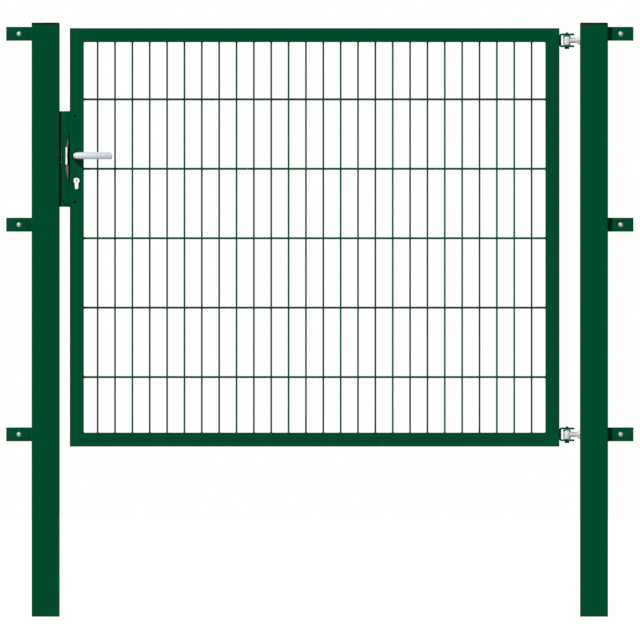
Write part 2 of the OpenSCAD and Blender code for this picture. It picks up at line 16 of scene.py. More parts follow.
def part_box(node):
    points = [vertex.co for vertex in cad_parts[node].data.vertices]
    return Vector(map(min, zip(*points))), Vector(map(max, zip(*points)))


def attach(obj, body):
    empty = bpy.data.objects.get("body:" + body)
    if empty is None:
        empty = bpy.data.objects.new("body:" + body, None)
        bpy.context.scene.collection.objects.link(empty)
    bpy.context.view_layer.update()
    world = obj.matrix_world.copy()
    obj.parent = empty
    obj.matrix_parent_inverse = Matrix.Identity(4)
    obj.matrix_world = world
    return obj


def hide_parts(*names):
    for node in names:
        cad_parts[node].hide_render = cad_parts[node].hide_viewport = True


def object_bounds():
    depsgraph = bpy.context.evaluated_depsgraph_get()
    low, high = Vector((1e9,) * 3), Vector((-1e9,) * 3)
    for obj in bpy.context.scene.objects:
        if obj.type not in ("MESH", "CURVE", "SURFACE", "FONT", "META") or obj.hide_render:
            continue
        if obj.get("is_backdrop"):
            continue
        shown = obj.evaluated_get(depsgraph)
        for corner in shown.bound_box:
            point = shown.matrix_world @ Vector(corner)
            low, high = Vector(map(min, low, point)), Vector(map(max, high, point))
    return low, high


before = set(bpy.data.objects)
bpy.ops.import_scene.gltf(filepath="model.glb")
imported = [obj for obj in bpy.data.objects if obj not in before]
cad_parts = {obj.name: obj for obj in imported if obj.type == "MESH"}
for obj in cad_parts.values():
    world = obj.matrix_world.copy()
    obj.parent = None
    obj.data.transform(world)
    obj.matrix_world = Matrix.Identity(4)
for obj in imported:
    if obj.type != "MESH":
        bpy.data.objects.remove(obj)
cad_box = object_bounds()
MM = 0.001
HALF_TURN = math.radians(180.0)
QUARTER_TURN = math.radians(90.0)
print("box in mm:", [round(v / MM, 1) for corner in cad_box for v in corner])

# %% [markdown]
# ## One way to add any node
#
# Geometry Nodes and shaders are both graphs of nodes. A short class adds a node of any type. Its
# settings are keywords and go in first, because they decide which sockets it has. Its values and
# links follow, as a dict from a socket's name or number to what goes in. A second class wraps a
# socket, so that sums on it can be written as ordinary Python. Each operator adds a Math node, also
# where a number comes first, as in `1.0 - valley`.


# %% Sockets that do arithmetic, and the graph that holds them
class Socket:
    """An output that Python's arithmetic turns into Math nodes."""

    def __init__(self, graph, out):
        self.graph = graph
        self.out = out

    def __add__(self, other):
        return self.graph.maths("ADD", self, other)

    def __sub__(self, other):
        return self.graph.maths("SUBTRACT", self, other)

    def __rsub__(self, other):
        return self.graph.maths("SUBTRACT", other, self)

    def __mul__(self, other):
        return self.graph.maths("MULTIPLY", self, other)

    def __truediv__(self, other):
        return self.graph.maths("DIVIDE", self, other)


class Made:
    """A node that was just added. Its outputs are read by name or number, as Socket."""

    def __init__(self, graph, node):
        self.graph = graph
        self.node = node

    def __getitem__(self, key):
        return Socket(self.graph, self.node.outputs[key])


class Graph:
    """A node tree under construction. Its methods add nodes and return them, ready to be linked."""

    def __init__(self, tree):
        self.tree = tree

    def node(self, kind, sockets=None, **settings):
        node = self.tree.nodes.new(kind)
        for name, value in settings.items():
            setattr(node, name, value)
        for key, value in (sockets or {}).items():
            for given in value if isinstance(value, list) else [value]:
                if isinstance(given, Made):
                    given = given[0]
                if isinstance(given, Socket):
                    self.tree.links.new(given.out, node.inputs[key])
                else:
                    node.inputs[key].default_value = given
        return Made(self, node)

    def maths(self, operation, *terms):
        return self.node("ShaderNodeMath", dict(enumerate(terms)), operation=operation)[0]


print("ready to build graphs")

# %% [markdown]
# ## Growing meshes with Geometry Nodes
#
# What repeats or follows a rule is grown by a small Geometry Nodes tree. The tree's sizes are named
# inputs, so the same tree makes the thick thread of a hinge and the thin one of a bolt. The result
# is turned into a plain mesh at once, which exports safely.


# %% Objects, and the mesh that modifiers leave
def add_object(name, data):
    """A new object in the scene, which carries that mesh, light or camera."""
    thing = bpy.data.objects.new(name, data)
    bpy.context.scene.collection.objects.link(thing)
    return thing


def settled(carrier):
    """The carrier's mesh as its modifiers leave it. The carrier itself is taken away."""
    evaluated = carrier.evaluated_get(bpy.context.evaluated_depsgraph_get())
    mesh = bpy.data.meshes.new_from_object(evaluated)
    carrier.modifiers.clear()
    bpy.data.objects.remove(carrier)
    return mesh


# %% A Geometry Nodes tree with named inputs
SOCKET_TYPES = {
    "number": "NodeSocketFloat",
    "count": "NodeSocketInt",
    "vector": "NodeSocketVector",
    "geometry": "NodeSocketGeometry",
    "material": "NodeSocketMaterial",
    "object": "NodeSocketObject",
}


class Grower(Graph):
    """A Geometry Nodes tree. inputs is a dict of name to type; start[name] reads one inside."""

    def __init__(self, name, inputs):
        super().__init__(bpy.data.node_groups.new(name, "GeometryNodeTree"))
        for label, kind in inputs.items():
            self.tree.interface.new_socket(label, in_out="INPUT", socket_type=SOCKET_TYPES[kind])
        self.tree.interface.new_socket(
            "Result", in_out="OUTPUT", socket_type=SOCKET_TYPES["geometry"]
        )
        self.start = self.node("NodeGroupInput")

    def xyz(self, x=0.0, y=0.0, z=0.0):
        return self.node("ShaderNodeCombineXYZ", {0: x, 1: y, 2: z})[0]

    def finish(self, geometry, material):
        """Ends the tree: real geometry, smooth faces, and a material on them."""
        real = self.node("GeometryNodeRealizeInstances", {0: geometry})
        smooth = self.node("GeometryNodeSetShadeSmooth", {"Geometry": real})
        coated = self.node("GeometryNodeSetMaterial", {"Geometry": smooth, "Material": material})
        self.node("NodeGroupOutput", {0: coated})

    def grow(self, values, seed_mesh=None):
        """Runs the tree on seed_mesh and returns the result as a plain mesh."""
        seed = add_object("seed", seed_mesh or bpy.data.meshes.new("seed"))
        modifier = seed.modifiers.new("Grow", "NODES")
        modifier.node_group = self.tree
        for item in self.tree.interface.items_tree:
            if item.in_out == "INPUT" and item.name in values:
                modifier[item.identifier] = values[item.name]
        return settled(seed)


print("ready to grow meshes")

# %% [markdown]
# ## Finishes
#
# A finish is a material whose colour, roughness and fine relief vary as they do on the real
# surface. All patterns read Object coordinates. Every piece sits at the origin, so these are the
# gate's own coordinates in metres, and a noise of scale 400 has bumps about 2.5 mm across.


# %% A finish and its helpers
class Finish(Graph):
    """A material built around one Principled shader."""

    def __init__(self, name, constants):
        self.material = bpy.data.materials.new(name)
        self.material.use_nodes = True
        super().__init__(self.material.node_tree)
        self.tree.nodes.clear()
        self.shader = self.node("ShaderNodeBsdfPrincipled", constants)
        self.node("ShaderNodeOutputMaterial", {"Surface": self.shader["BSDF"]})
        self.place = self.node("ShaderNodeTexCoord")["Object"]

    def noise(self, scale, detail=2.0, stretch=(1.0, 1.0, 1.0)):
        """Cloudy noise from 0 to 1. A stretch below 1 draws it out along that axis."""
        mapped = self.node("ShaderNodeMapping", {"Vector": self.place, "Scale": stretch})
        values = {"Vector": mapped, "Scale": scale, "Detail": detail}
        return self.node("ShaderNodeTexNoise", values)[0]

    def between(self, factor, low, high):
        """A number that runs from low to high as factor runs from 0 to 1."""
        return factor * (high - low) + low

    def colours(self, factor, low, high):
        """A colour between two, each given as (red, green, blue) or as a socket."""
        first, second = (end if isinstance(end, Socket) else (*end, 1.0) for end in (low, high))
        sockets = {0: factor, 6: first, 7: second}
        return self.node("ShaderNodeMix", sockets, data_type="RGBA")[2]

    def relief(self, height, depth, strength):
        """Fine relief of that depth in metres."""
        sockets = {"Height": height, "Distance": depth, "Strength": strength}
        return self.node("ShaderNodeBump", sockets)["Normal"]

    def feed(self, name, value):
        """Links a socket to one of the shader's inputs."""
        self.tree.links.new(value.out, self.shader.node.inputs[name])


print("ready to mix finishes")

# %% [markdown]
# ## The powder coat
#
# Fence steel is galvanised and then powder coated: a dry powder melts into a skin about 0.1 mm
# thick. It flows almost flat, but keeps a faint orange peel with waves of 2 or 3 mm. One noise
# makes the peel, and a very wide one lets the tone drift by a few percent, as it does over a real
# batch. The sheen is satin: specular is low and takes a little of the coat's own tint.

# %% Powder coat
DEEP_GREEN = (0.0005, 0.069, 0.024)
FRESH_GREEN = (0.0005, 0.075, 0.027)
GREEN_SHEEN = (0.03, 0.8, 0.45, 1.0)
DRIFT_SCALE = 3.0
GRAIN_SCALE = 900.0
GRAIN_SHARE = 0.25
SHEEN_SCALE = 240.0
COAT_ROUGHNESS = (0.43, 0.50)
PEEL_SCALE = 420.0
PEEL_DEPTH = 0.04 * MM
coat = Finish("green_powder_coat", {"Specular IOR Level": 0.05, "Specular Tint": GREEN_SHEEN})
drift = coat.noise(DRIFT_SCALE)
grain = coat.noise(GRAIN_SCALE, detail=1.0)
tone = coat.between(grain, 0.0, GRAIN_SHARE) + coat.between(drift, 0.0, 1.0 - GRAIN_SHARE)
coat.feed("Base Color", coat.colours(tone, DEEP_GREEN, FRESH_GREEN))
coat.feed("Roughness", coat.between(coat.noise(SHEEN_SCALE), *COAT_ROUGHNESS))
peel = coat.noise(PEEL_SCALE, detail=1.0)
coat.feed("Normal", coat.relief(peel, PEEL_DEPTH, strength=0.5))
print("powder coat:", len(coat.tree.nodes), "nodes")

# %% [markdown]
# ## Zinc, steel, nickel and aluminium
#
# The bare metals differ in tone and in the direction of their grain. Zinc plate is bright with a
# mottled, slightly dull bloom. Rolled or brushed steel has its grain along the strip. The levers
# are satin aluminium, blasted and anodised, so their sheen is wide and even. One function makes
# them all, from a tone, a roughness range, and a noise drawn out along the grain.
#
# A polished metal only mirrors its surroundings. A blasted, plated or anodised one also scatters
# light under its skin, so it darkens on the side away from the lamp. The shader's Metallic value
# says how much of it is a mirror: near 1 for polished steel and well below that for satin.


# %% Bare metals
METAL_BLOOM_SCALE = 180.0


def bare_metal(name, dark, light, mirror, rough, grain_scale, grain_stretch, grain_depth):
    """A metal with mottled tone and fine grain. rough is its lowest and highest roughness."""
    metal = Finish(name, {"Metallic": mirror})
    bloom = metal.noise(METAL_BLOOM_SCALE, detail=3.0)
    grain = metal.noise(grain_scale, detail=3.0, stretch=grain_stretch)
    metal.tone = metal.colours(bloom, dark, light)
    metal.feed("Base Color", metal.tone)
    metal.feed("Roughness", metal.between(bloom * 0.5 + grain * 0.5, *rough))
    metal.feed("Normal", metal.relief(grain, grain_depth * MM, strength=0.5))
    return metal


ALONG_X = (0.04, 1.0, 1.0)
ALONG_Z = (1.0, 1.0, 0.04)
EVEN = (1.0, 1.0, 1.0)
# Each row: dark and light tone, mirror, roughness, and the grain's scale, direction and depth in mm
METALS = {
    "bright_zinc": ((0.66, 0.67, 0.69), (0.78, 0.79, 0.8), 0.2, (0.3, 0.42), 500, EVEN, 0.03),
    "galvanised_steel": ((0.34, 0.35, 0.36), (0.5, 0.51, 0.52), 0.7, (0.46, 0.6), 500, EVEN, 0.03),
    "dull_zinc": ((0.08, 0.085, 0.085), (0.13, 0.135, 0.135), 1, (0.5, 0.65), 700, ALONG_Z, 0.03),
    "brushed_steel": ((0.5, 0.5, 0.49), (0.62, 0.62, 0.61), 1, (0.26, 0.42), 2500, ALONG_Z, 0.02),
    "polished_steel": (
        (0.84, 0.85, 0.86), (0.92, 0.92, 0.93), 1, (0.18, 0.28), 1500, ALONG_Z, 0.01,
    ),
    "satin_nickel": ((0.84, 0.84, 0.83), (0.92, 0.92, 0.91), 0.8, (0.2, 0.32), 2500, ALONG_Z, 0.02),
    "satin_aluminium": (
        (0.68, 0.71, 0.76), (0.74, 0.77, 0.82), 0.35, (0.38, 0.46), 3000, ALONG_X, 0.01,
    ),
    "black_oxide": ((0.006, 0.007, 0.007), (0.014, 0.015, 0.015), 1, (0.4, 0.55), 900, EVEN, 0.02),
}
zinc, galvanised, dull_zinc, strip_steel, polished_steel, nickel, aluminium, black_steel = (
    bare_metal(name, *recipe) for name, recipe in METALS.items()
)
print("bare metals:", len(METALS))

# %% [markdown]
# The key plug is nickel too, but one looks into its key way, where little light gets in. That shade
# is painted: a mask on Object coordinates is 1 inside a box between two corners, and there it
# darkens the tone to a painted shade and takes the mirror away.


# %% Nickel with painted shade in its key way
def inside_box(finish, low, high):
    """1 inside the box between two corners and 0 outside it."""
    split = finish.node("ShaderNodeSeparateXYZ", {0: finish.place})
    mask = 1.0
    for axis, a, b in zip("XYZ", low, high):
        off_middle = finish.maths("ABSOLUTE", split[axis] - (a + b) / 2)
        mask = finish.maths("LESS_THAN", off_middle, (b - a) / 2) * mask
    return mask


KEY_WAY_WIDTH = 2.2 * MM
KEY_WAY_HEIGHT = 9.7 * MM
PLUG_FACE = 0.25 * MM
KEY_WAY_PAINTED_SHADE = (0.02, 0.02, 0.018)
NICKEL_MIRROR = METALS["satin_nickel"][2]
NICKEL_ROUGHNESS = 0.26
KEY_WAY_SHADE_ROUGHNESS = 0.8
plug_low, plug_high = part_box("key_plug")
plug_middle = (plug_low + plug_high) / 2
half_depth = (plug_high.y - plug_low.y) / 2 - PLUG_FACE
half_key_way = Vector((KEY_WAY_WIDTH / 2, half_depth, KEY_WAY_HEIGHT / 2))
plug_nickel = bare_metal("nickel_with_key_way", *METALS["satin_nickel"])
painted_key_way_shade = inside_box(plug_nickel, plug_middle - half_key_way, plug_middle + half_key_way)
# Painted shade: inside the key way the tone is darkened and the mirror taken away, as if no light
# reached it.
plug_nickel.feed("Base Color", plug_nickel.colours(painted_key_way_shade, plug_nickel.tone, KEY_WAY_PAINTED_SHADE))
plug_nickel.feed("Metallic", plug_nickel.between(painted_key_way_shade, NICKEL_MIRROR, 0.0))
plug_nickel.feed("Roughness", plug_nickel.between(painted_key_way_shade, NICKEL_ROUGHNESS, KEY_WAY_SHADE_ROUGHNESS))
print("key way:", [round(v / MM, 1) for v in half_key_way * 2], "mm")

# %% [markdown]
# ## Black plastic
#
# The post caps and the levers' sleeves are injection moulded. The mould is spark eroded, which
# leaves a fine even texture, and the plastic is never quite black: it has a cool grey bloom.

# %% Moulded plastic
NEAR_BLACK = (0.005, 0.006, 0.006)
BLOOMED_BLACK = (0.010, 0.012, 0.011)
PLASTIC_BLOOM_SCALE = 200.0
PLASTIC_ROUGHNESS = (0.52, 0.60)
TEXTURE_SCALE = 1400.0
TEXTURE_DEPTH = 0.05 * MM
plastic = Finish("black_plastic", {"Specular IOR Level": 0.08})
bloom = plastic.noise(PLASTIC_BLOOM_SCALE, detail=3.0)
plastic.feed("Base Color", plastic.colours(bloom, NEAR_BLACK, BLOOMED_BLACK))
plastic.feed("Roughness", plastic.between(bloom, *PLASTIC_ROUGHNESS))
texture = plastic.noise(TEXTURE_SCALE, detail=1.0)
plastic.feed("Normal", plastic.relief(texture, TEXTURE_DEPTH, strength=0.6))
print("plastic:", plastic.material.name)

# %% [markdown]
# ## Finishing the tubes that stay
#
# Posts and frame are square tubes with rolled corners. Their solids already have the right section,
# wall and smooth corners, so they stay as they are and only get the powder coat. The square spindle
# inside the lock stays too, in dull zinc.


# %% Coat the posts and the frame tubes
def dress(node, finish):
    """Gives a solid that stays its finish."""
    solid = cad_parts[node]
    solid.data.materials.clear()
    solid.data.materials.append(finish.material)


TUBES = ("hinge_post", "latch_post", "hinge_stile", "lock_stile", "top_rail", "bottom_rail")
for name in TUBES:
    dress(name, coat)
dress("spindle", dull_zinc)
print("coated tubes:", len(TUBES))

# %% [markdown]
# ## From plain meshes to finished pieces
#
# A finished piece sits at the origin with its place in its mesh, rides on one body, and stands for
# the solid that it replaces. Shading is smooth, but every edge sharper than 35 degrees stays crisp.


# %% Make a piece out of one or more meshes
CRISP_ANGLE = math.radians(35.0)


def merged(parts):
    """One mesh from a list of (mesh, matrix)."""
    shape = bmesh.new()
    for mesh, matrix in parts:
        copy = mesh.copy()
        copy.transform(matrix)
        shape.from_mesh(copy)
        bpy.data.meshes.remove(copy)
    mesh = bpy.data.meshes.new("merged")
    shape.to_mesh(mesh)
    shape.free()
    return mesh


def piece(name, mesh, finish, body, stands_for=(), crisp=CRISP_ANGLE):
    """Links mesh as a piece of the gate. stands_for names the solids that it replaces."""
    mesh.name = name
    mesh.materials.clear()
    mesh.materials.append(finish.material)
    mesh.shade_smooth()
    mesh.set_sharp_from_angle(angle=crisp)
    thing = add_object(name, mesh)
    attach(thing, body)
    if stands_for:
        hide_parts(*stands_for)
    triangles = sum(len(face.vertices) - 2 for face in mesh.polygons)
    print(f"{name}: {triangles} triangles on {body}")


# %% [markdown]
# ## Softened edges
#
# No real edge is a knife edge. Flame-cut plates, folded sheet and moulded caps all have a small
# radius, which catches the light and tells the eye how big the thing is. The solid is copied, its
# loose triangles are merged back into whole faces, and a Bevel modifier rounds only the edges that
# turn by more than 35 degrees, so bores and bends keep their shape.


# %% A softened copy of a solid
SAME_POINT = 0.001 * MM
SAME_FACE = math.radians(0.5)


def with_modifier(mesh, kind, **settings):
    """The mesh as that modifier leaves it."""
    carrier = add_object("carrier", mesh)
    modifier = carrier.modifiers.new(kind, kind)
    for name, value in settings.items():
        setattr(modifier, name, value)
    return settled(carrier)


def softened(node, radius):
    """A copy of a node's mesh with its sharp edges rounded."""
    shape = bmesh.new()
    shape.from_mesh(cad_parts[node].data)
    bmesh.ops.remove_doubles(shape, verts=shape.verts, dist=SAME_POINT)
    bmesh.ops.dissolve_limit(shape, angle_limit=SAME_FACE, verts=shape.verts, edges=shape.edges)
    mesh = bpy.data.meshes.new(node)
    shape.to_mesh(mesh)
    shape.free()
    return with_modifier(
        mesh, "BEVEL", width=radius, segments=2, limit_method="ANGLE", angle_limit=CRISP_ANGLE,
        use_clamp_overlap=True,
    )


def soften_piece(node, radius, finish, body):
    """The node's own shape with soft edges, in its place."""
    piece(node + "_shape", softened(node, radius), finish, body, [node])


# %% [markdown]
# The radius follows how a thing is made. The cast latch bolt is the softest, then come moulded caps
# and folded sheet, then cut plates, and stamped or machined parts are nearly sharp.

# %% Plates, caps and sheet metal with soft edges
CAST_EDGE = 0.8 * MM
FOLDED_EDGE = 0.6 * MM
PLATE_EDGE = 0.5 * MM
STAMPED_EDGE = 0.3 * MM
SCREW_EDGE = 0.2 * MM
PLUG_EDGE = 0.15 * MM
POST_SIDES = ("hinge", "latch")
LUG_LEVELS = ("low", "mid", "top")
HINGE_LEVELS = ("low", "top")
for side in POST_SIDES:
    soften_piece(f"{side}_post_cap", FOLDED_EDGE, plastic, "posts")
    for level in LUG_LEVELS:
        soften_piece(f"{side}_post_lug_{level}", PLATE_EDGE, coat, "posts")
soften_piece("stop_plate", PLATE_EDGE, coat, "posts")
for level in HINGE_LEVELS:
    soften_piece(f"{level}_hinge_bracket", PLATE_EDGE, coat, "leaf")
soften_piece("lock_case", FOLDED_EDGE, coat, "leaf")
soften_piece("lock_forend", STAMPED_EDGE, strip_steel, "leaf")
soften_piece("latch_guide", STAMPED_EDGE, dull_zinc, "leaf")
soften_piece("lock_screws", SCREW_EDGE, black_steel, "leaf")
soften_piece("cylinder_body", STAMPED_EDGE, nickel, "leaf")
soften_piece("key_plug", PLUG_EDGE, plug_nickel, "key_plug")
soften_piece("latch_bolt", CAST_EDGE, polished_steel, "latch")
for side in ("front", "back"):
    soften_piece(f"{side}_lever_sleeve", PLATE_EDGE, plastic, "leaf")

# %% [markdown]
# ## The double-rod mesh
#
# The filling is a double-rod mat: upright wires of 5 mm every 50 mm, with a pair of 6 mm rods that
# clamps them every 200 mm, welded at each crossing. One wire, one rod and one small weld are
# instanced on lines and on a grid. The wires are round here, and the welds swell out a little where
# the current has melted rod and wire together.

# %% The tree for the mesh
mat_tree = Grower("double_rod_mat", {
    "Wire Count": "count", "Wire Pitch": "number", "Wire Diameter": "number",
    "Wire Length": "number", "First Wire": "number",
    "Rod Pairs": "count", "Rod Pitch": "number", "Rod Diameter": "number",
    "Rod Length": "number", "First Rod": "number", "Rod Offset": "number",
    "Corner": "vector", "Coat": "material",
})
given = mat_tree.start


def bar_shape(diameter, length, turn=(0.0, 0.0, 0.0)):
    """A round bar that starts at the origin and runs along +Z, then turned."""
    bar = mat_tree.node("GeometryNodeMeshCylinder", {
        "Vertices": 16, "Radius": diameter * 0.5, "Depth": length,
    })
    shifted = mat_tree.node("GeometryNodeTransform", {
        "Geometry": bar, "Translation": mat_tree.xyz(z=length * 0.5),
    })
    return mat_tree.node("GeometryNodeTransform", {"Geometry": shifted, "Rotation": turn})


def row_of(shape, count, start, step):
    """The shape at each point of a straight row."""
    line = mat_tree.node("GeometryNodeMeshLine", {
        "Count": count, "Start Location": start, "Offset": step,
    }, mode="OFFSET")
    return mat_tree.node("GeometryNodeInstanceOnPoints", {"Points": line, "Instance": shape})


FRONT_AND_BACK = (-1.0, 1.0)
wire_step = mat_tree.xyz(x=given["Wire Pitch"])
rod_step = mat_tree.xyz(z=given["Rod Pitch"])
wire = bar_shape(given["Wire Diameter"], given["Wire Length"])
rod = bar_shape(given["Rod Diameter"], given["Rod Length"], (0.0, QUARTER_TURN, 0.0))
wires = row_of(wire, given["Wire Count"], mat_tree.xyz(x=given["First Wire"]), wire_step)
rods = []
for side in FRONT_AND_BACK:
    rod_start = mat_tree.xyz(y=given["Rod Offset"] * side, z=given["First Rod"])
    rods.append(row_of(rod, given["Rod Pairs"], rod_start, rod_step))
print("bars:", len(mat_tree.tree.nodes), "nodes so far")

# %% [markdown]
# The welds sit on a grid of crossings, once in front of the wires and once behind, nearly a wire's
# radius from its middle. Every wire end and rod end also has a small collar of weld where it meets
# the frame. The sizes of both are shares of the bar's own diameter.

# %% Welds at the crossings and at the frame
WELD_SHAPE = (1.45, 0.6, 1.5)
WELD_OFFSET = 0.47
COLLAR_RADIUS = 0.82
COLLAR_HEIGHT = 0.4
nugget = mat_tree.node("GeometryNodeMeshUVSphere", {
    "Segments": 8, "Rings": 5, "Radius": given["Wire Diameter"] * 0.5,
})
flat_nugget = mat_tree.node("GeometryNodeTransform", {"Geometry": nugget, "Scale": WELD_SHAPE})
welds = []
for side in FRONT_AND_BACK:
    off_middle = given["Wire Diameter"] * (WELD_OFFSET * side)
    row_start = mat_tree.xyz(x=given["First Wire"], y=off_middle)
    weld_row = row_of(flat_nugget, given["Wire Count"], row_start, wire_step)
    grid_start = mat_tree.xyz(z=given["First Rod"])
    welds.append(row_of(weld_row, given["Rod Pairs"], grid_start, rod_step))


def collars(diameter, turn, count, start, step):
    """A row of small cones, wide at the frame and narrow at the bar."""
    cone = mat_tree.node("GeometryNodeMeshCone", {
        "Vertices": 12, "Radius Top": diameter * 0.5, "Radius Bottom": diameter * COLLAR_RADIUS,
        "Depth": diameter * COLLAR_HEIGHT,
    }, fill_type="NONE")
    facing = mat_tree.node("GeometryNodeTransform", {"Geometry": cone, "Rotation": turn})
    return row_of(facing, count, start, step)


ends = []
for turn, up in ((0.0, 0.0), (HALF_TURN, given["Wire Length"])):
    ends.append(collars(
        given["Wire Diameter"], (turn, 0.0, 0.0), given["Wire Count"],
        mat_tree.xyz(x=given["First Wire"], z=up), wire_step,
    ))
for side in FRONT_AND_BACK:
    for turn, along in ((QUARTER_TURN, 0.0), (-QUARTER_TURN, given["Rod Length"])):
        ends.append(collars(
            given["Rod Diameter"], (0.0, turn, 0.0), given["Rod Pairs"],
            mat_tree.xyz(x=along, y=given["Rod Offset"] * side, z=given["First Rod"]), rod_step,
        ))
all_bars = mat_tree.node("GeometryNodeJoinGeometry", {"Geometry": [wires, *rods, *welds, *ends]})
placed = mat_tree.node("GeometryNodeTransform", {
    "Geometry": all_bars, "Translation": given["Corner"],
})
mat_tree.finish(placed, given["Coat"])
print("whole mat:", len(mat_tree.tree.nodes), "nodes")

# %% [markdown]
# The mat fills the opening between the stiles and the rails, which the frame gives. As many wires
# as fit at their pitch stand centred in it, and the lowest pair of rods lies 160 mm above its foot.
# A rod's middle is 0.4 mm less than the two radii away from a wire's, as the weld sinks it in.

# %% Grow the mesh
WIRE_CRISP_ANGLE = math.radians(50.0)
ROUNDING = 1e-4
WIRE_PITCH = 50 * MM
WIRE_SIZE = 5 * MM
ROD_PITCH = 200 * MM
ROD_SIZE = 6 * MM
ROD_OFFSET = 5.1 * MM
FIRST_ROD = 160 * MM
mat_low, mat_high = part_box("mesh_panel")
mat_width = mat_high.x - mat_low.x
mat_height = mat_high.z - mat_low.z
wire_count = int(mat_width / WIRE_PITCH + ROUNDING)
rod_pairs = int((mat_height - FIRST_ROD) / ROD_PITCH) + 1
mat_mesh = mat_tree.grow({
    "Wire Count": wire_count, "Wire Pitch": WIRE_PITCH, "Wire Diameter": WIRE_SIZE,
    "Wire Length": mat_height, "First Wire": (mat_width - (wire_count - 1) * WIRE_PITCH) / 2,
    "Rod Pairs": rod_pairs, "Rod Pitch": ROD_PITCH, "Rod Diameter": ROD_SIZE,
    "Rod Length": mat_width, "First Rod": FIRST_ROD, "Rod Offset": ROD_OFFSET,
    "Corner": (mat_low.x, (mat_low.y + mat_high.y) / 2, mat_low.z), "Coat": coat.material,
})
print("wires:", wire_count, "rod pairs:", rod_pairs)
piece("double_rod_mat", mat_mesh, coat, "leaf", ["mesh_panel"], WIRE_CRISP_ANGLE)

# %% [markdown]
# ## Weld beads
#
# The frame, lugs, brackets and lock case are joined by arc welds. A bead is a row of frozen
# ripples, each a drop that cooled on the one before. The tree walks along any path, sets a drop
# every 1.3 mm and turns it along the path. A fixed seed varies the drops by up to a tenth.

# %% The tree for a weld bead
RIPPLE = 1.3 * MM
SMALLEST_DROP = (0.90, 0.92, 0.92)
LARGEST_DROP = (1.10, 1.06, 1.06)
bead_tree = Grower("weld_bead", {
    "Path": "geometry", "Ripple": "number", "Drop Size": "vector", "Coat": "material",
})
given = bead_tree.start
drop = bead_tree.node("GeometryNodeMeshUVSphere", {"Segments": 10, "Rings": 6, "Radius": 1.0})
path = bead_tree.node("GeometryNodeMeshToCurve", {"Mesh": given["Path"]})
steps = bead_tree.node("GeometryNodeResampleCurve", {
    "Curve": path, "Length": given["Ripple"],
}, mode="LENGTH")
heading = bead_tree.node("FunctionNodeAlignRotationToVector", {
    "Vector": bead_tree.node("GeometryNodeInputTangent"),
}, axis="X")
wobble = bead_tree.node("FunctionNodeRandomValue", {
    0: SMALLEST_DROP, 1: LARGEST_DROP, "Seed": 7,
}, data_type="FLOAT_VECTOR")
size = bead_tree.node("ShaderNodeVectorMath", {
    0: given["Drop Size"], 1: wobble,
}, operation="MULTIPLY")
drops = bead_tree.node("GeometryNodeInstanceOnPoints", {
    "Points": steps, "Instance": drop, "Rotation": heading, "Scale": size,
})
bead_tree.finish(drops, given["Coat"])


def bead(paths, radius, ripple=RIPPLE):
    """Beads along straight seams. Each path is a pair of points, and ripple is the drops' pitch."""
    mesh = bpy.data.meshes.new("seams")
    points = [point for seam in paths for point in seam]
    mesh.from_pydata(points, [(i, i + 1) for i in range(0, len(points), 2)], [])
    drop_size = (max(ripple, radius), radius, radius)
    return bead_tree.grow({"Ripple": ripple, "Drop Size": drop_size, "Coat": coat.material}, mesh)


print("weld bead:", len(bead_tree.tree.nodes), "nodes")

# %% [markdown]
# Each lug is welded to its post along both upright sides, and the stop plate along its back. A bead
# stops a little short of the plate's corners, as a welder's does.

# %% Beads on the posts
FILLET_BEAD = 1.8 * MM
LUG_INSET = 2 * MM
STOP_INSET = 3 * MM
post_seams = []
for side in POST_SIDES:
    for level in LUG_LEVELS:
        low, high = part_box(f"{side}_post_lug_{level}")
        x = low.x if side == "hinge" else high.x
        for y in (low.y, high.y):
            post_seams.append(((x, y, low.z + LUG_INSET), (x, y, high.z - LUG_INSET)))
stop_low, stop_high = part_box("stop_plate")
post_seams.append((
    (stop_low.x, stop_high.y, stop_low.z + STOP_INSET),
    (stop_low.x, stop_high.y, stop_high.z - STOP_INSET),
))
piece("post_weld_beads", bead(post_seams, FILLET_BEAD), coat, "posts")

# %% [markdown]
# The leaf has beads in the four inner corners of its frame, along the sides of the hinge brackets,
# and flush ones that fill the groove between the lock case and the rolled corner of the stile. At
# the window the case has no front wall to weld, so the front bead stops short of it on both sides.
# Where the window starts and ends is read from the corners that the case has beside the stile.

# %% Beads on the leaf
FLUSH_BEAD = 1.6 * MM
FLUSH_RIPPLE = 0.9 * MM
END_BEAD = 1.5 * MM
BEAD_INSET = 1 * MM
BRACKET_INSET = 6 * MM
TUBE_CORNER = 3 * MM
GROOVE_IN = 0.6 * MM
GROOVE_UNDER = 1.7 * MM
NEAR = 0.1 * MM
leaf_seams = []
stile_low, stile_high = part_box("lock_stile")
inner_front = stile_low.y + TUBE_CORNER
inner_back = stile_high.y - TUBE_CORNER
for x in (mat_low.x, mat_high.x):
    for z in (mat_low.z, mat_high.z):
        leaf_seams.append(((x, inner_front, z), (x, inner_back, z)))
for level in HINGE_LEVELS:
    low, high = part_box(f"{level}_hinge_bracket")
    for y in (low.y, high.y):
        leaf_seams.append(((low.x, y, low.z + BRACKET_INSET), (low.x, y, high.z - BRACKET_INSET)))
case_low, case_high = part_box("lock_case")
bottom, window_low, window_high, top = sorted({
    round(corner.co.z, 4)
    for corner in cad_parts["lock_case"].data.vertices
    if case_high.x - corner.co.x < NEAR and corner.co.y - case_low.y < NEAR
})
groove_x = case_high.x + GROOVE_IN
groove_front = case_low.y + GROOVE_UNDER
groove_back = case_high.y - GROOVE_UNDER
flush_seams = [
    ((groove_x, y, low + BEAD_INSET), (groove_x, y, high - BEAD_INSET))
    for y, low, high in (
        (groove_front, bottom, window_low - BEAD_INSET),
        (groove_front, window_high + BEAD_INSET, top),
        (groove_back, bottom, top),
    )
]
end_seams = [
    ((case_high.x, case_low.y + TUBE_CORNER, z), (case_high.x, case_high.y - TUBE_CORNER, z))
    for z in (case_low.z, case_high.z)
]
